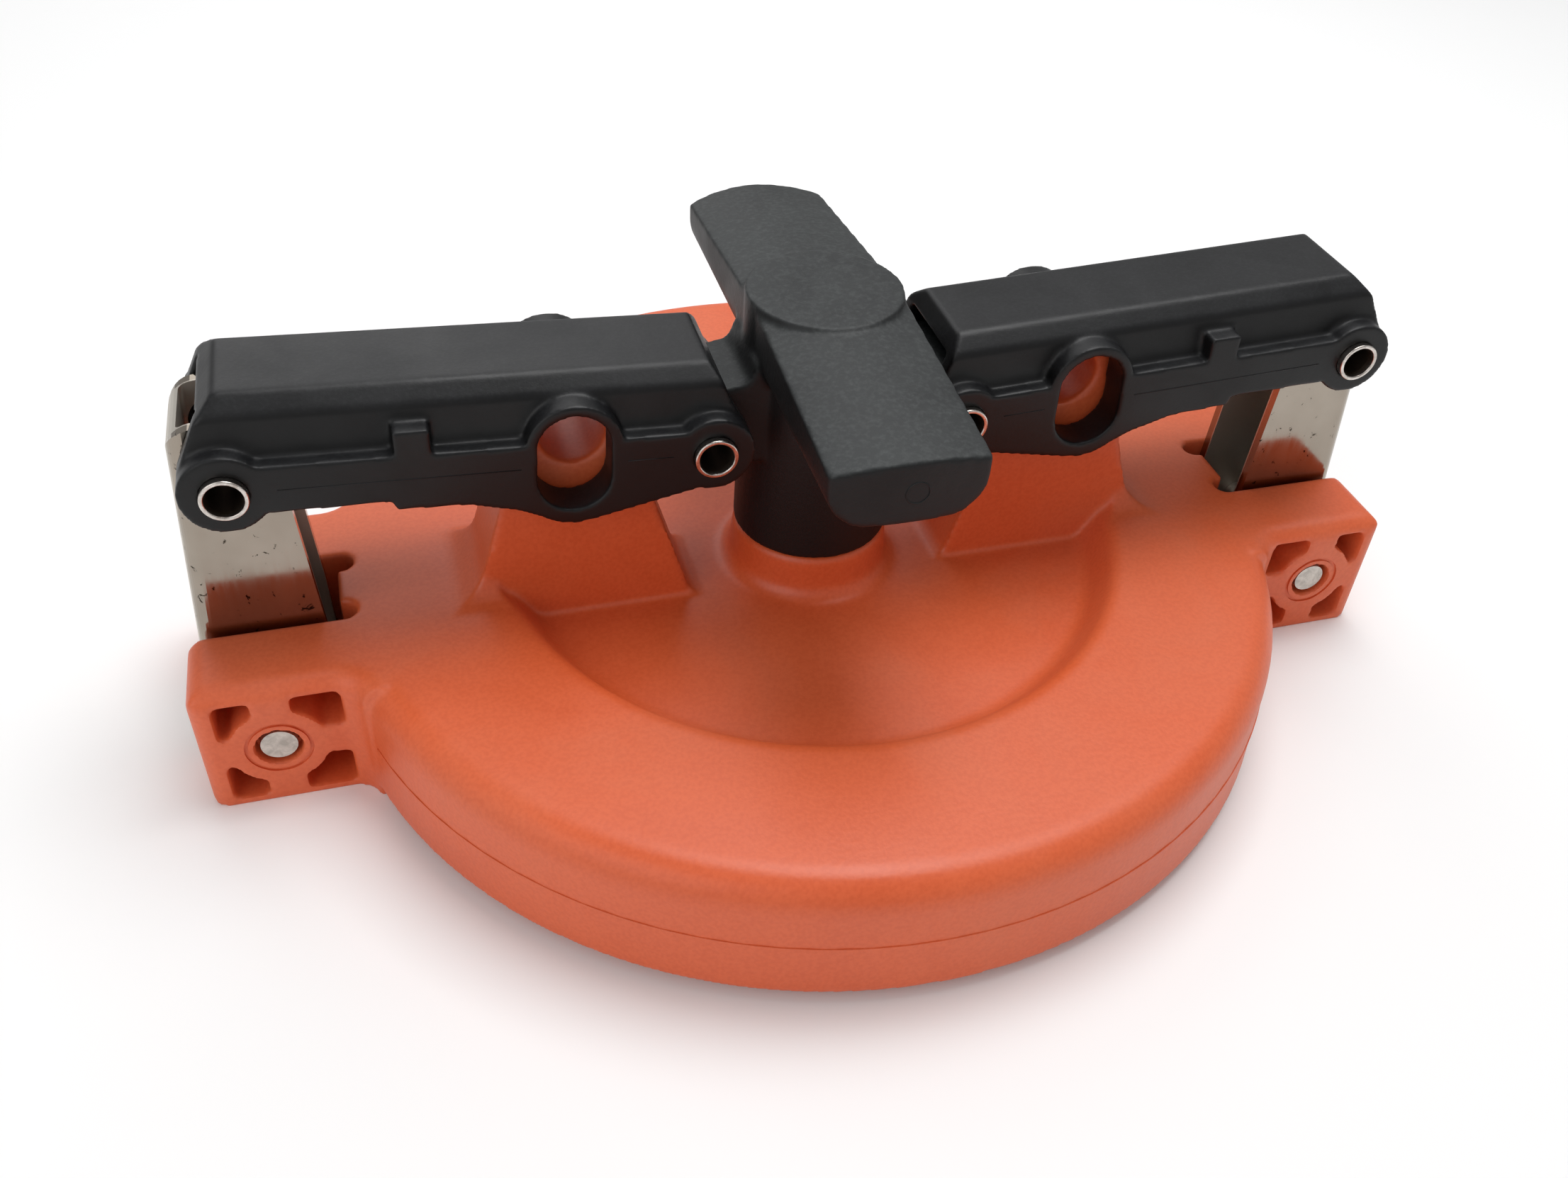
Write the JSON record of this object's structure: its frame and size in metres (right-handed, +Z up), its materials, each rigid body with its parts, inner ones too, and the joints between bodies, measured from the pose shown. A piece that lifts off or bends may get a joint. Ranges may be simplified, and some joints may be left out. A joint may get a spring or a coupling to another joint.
{
  "type": "vapor recovery cap",
  "caption": "Orange moulded vapor recovery cap with a black T-handle, padlock links and folding stainless latches.",
  "frame": {"origin": "on the cap's axis at the underside of the two ears, which the cap stands on", "axes": "+X towards the right latch, along the line of both latches; +Y away from the picture's viewer, along the T-bar; +Z up"},
  "size_m": [0.1764, 0.1396, 0.0592],
  "materials": {
    "body_plastic": "orange moulded acetal with a soft satin sheen",
    "gasket_rubber": "black moulded rubber",
    "handle_plastic": "black moulded plastic, satin",
    "link_plastic": "black moulded plastic, satin",
    "latch_steel": "rolled stainless sheet with small specks",
    "pin_steel": "bare steel pin ends",
    "rivet_steel": "bright rolled hollow rivets"
  },
  "bodies": {
    "cap": {"cap_body": "body_plastic", "gasket": "gasket_rubber", "ear_pin_left": "pin_steel", "ear_pin_right": "pin_steel"},
    "t_handle": {"handle": "handle_plastic"},
    "left_link": {"link_left": "link_plastic", "inner_rivet_left": "rivet_steel", "outer_rivet_left": "rivet_steel"},
    "right_link": {"link_right": "link_plastic", "inner_rivet_right": "rivet_steel", "outer_rivet_right": "rivet_steel"},
    "left_latch": {"latch_left": "latch_steel"},
    "right_latch": {"latch_right": "latch_steel"}
  },
  "joints": [
    {"name": "handle_lift", "type": "slide", "parent": "cap", "child": "t_handle", "axis": [0, 0, 1], "range_m": [0, 0.03]},
    {"name": "link_left_fold", "type": "hinge", "parent": "t_handle", "child": "left_link", "pos_m": [-0.01755, 0, 0.0429], "axis": [0, -1, 0], "range_deg": [0, 29.5]},
    {"name": "link_right_fold", "type": "hinge", "parent": "t_handle", "child": "right_link", "pos_m": [0.01755, 0, 0.0429], "axis": [0, 1, 0], "range_deg": [0, 29.5]},
    {"name": "latch_left_swing", "type": "hinge", "parent": "cap", "child": "left_latch", "pos_m": [-0.0781, 0, 0.0096], "axis": [0, 1, 0], "range_deg": [0, 8.1]},
    {"name": "latch_right_swing", "type": "hinge", "parent": "cap", "child": "right_latch", "pos_m": [0.0781, 0, 0.0096], "axis": [0, -1, 0], "range_deg": [0, 8.1]}
  ],
  "couplings": [
    {"joint": "link_left_fold", "follows": "handle_lift", "rad_per_m": 17.104},
    {"joint": "link_right_fold", "follows": "handle_lift", "rad_per_m": 17.104},
    {"joint": "latch_left_swing", "follows": "handle_lift", "rad_per_m": 4.669},
    {"joint": "latch_right_swing", "follows": "handle_lift", "rad_per_m": 4.669}
  ]
}
